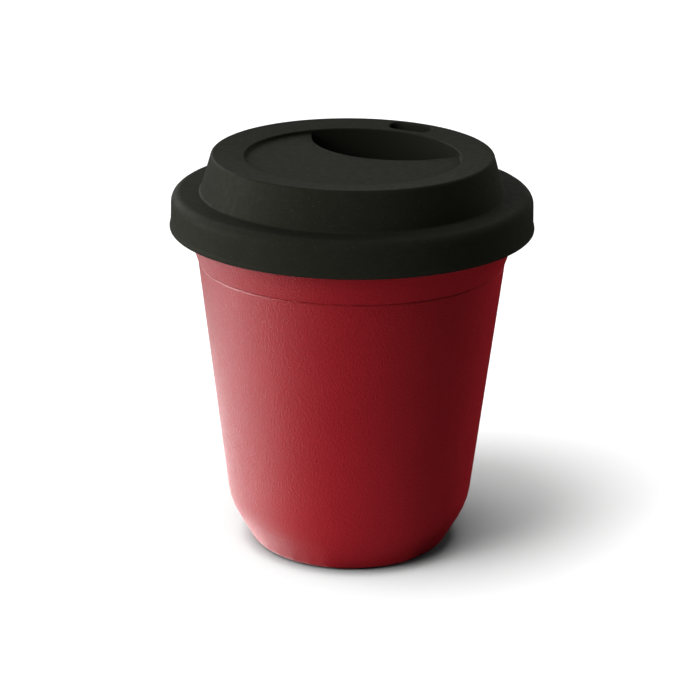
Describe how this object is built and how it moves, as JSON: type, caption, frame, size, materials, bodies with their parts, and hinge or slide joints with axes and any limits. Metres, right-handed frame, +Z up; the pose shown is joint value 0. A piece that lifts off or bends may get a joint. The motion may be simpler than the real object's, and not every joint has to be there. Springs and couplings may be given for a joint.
{
  "type": "lidded to-go cup",
  "caption": "Tapered double-walled to-go cup with a rounded base corner, closed by a soft lift-off drinking lid with a skirt, raised dome, nose well and sip slot.",
  "frame": {"origin": "centre of the foot, on the surface that the cup stands on", "axes": "+Z up along the cup's axis, +Y towards the side of the sip slot"},
  "size_m": [0.094, 0.094, 0.1054],
  "materials": {
    "shell_plastic": "satin with a fine leathery grain",
    "liner_plastic": "satin, grained collar and smooth inside",
    "lid_silicone": "matte silicone"
  },
  "bodies": {
    "cup": {"outer_shell": "shell_plastic", "inner_liner": "liner_plastic"},
    "lid": {"lid": "lid_silicone"}
  },
  "joints": [
    {"name": "lid_lift", "type": "slide", "parent": "cup", "child": "lid", "axis": [0, 0, 1], "range_m": [0, 0.05]}
  ]
}
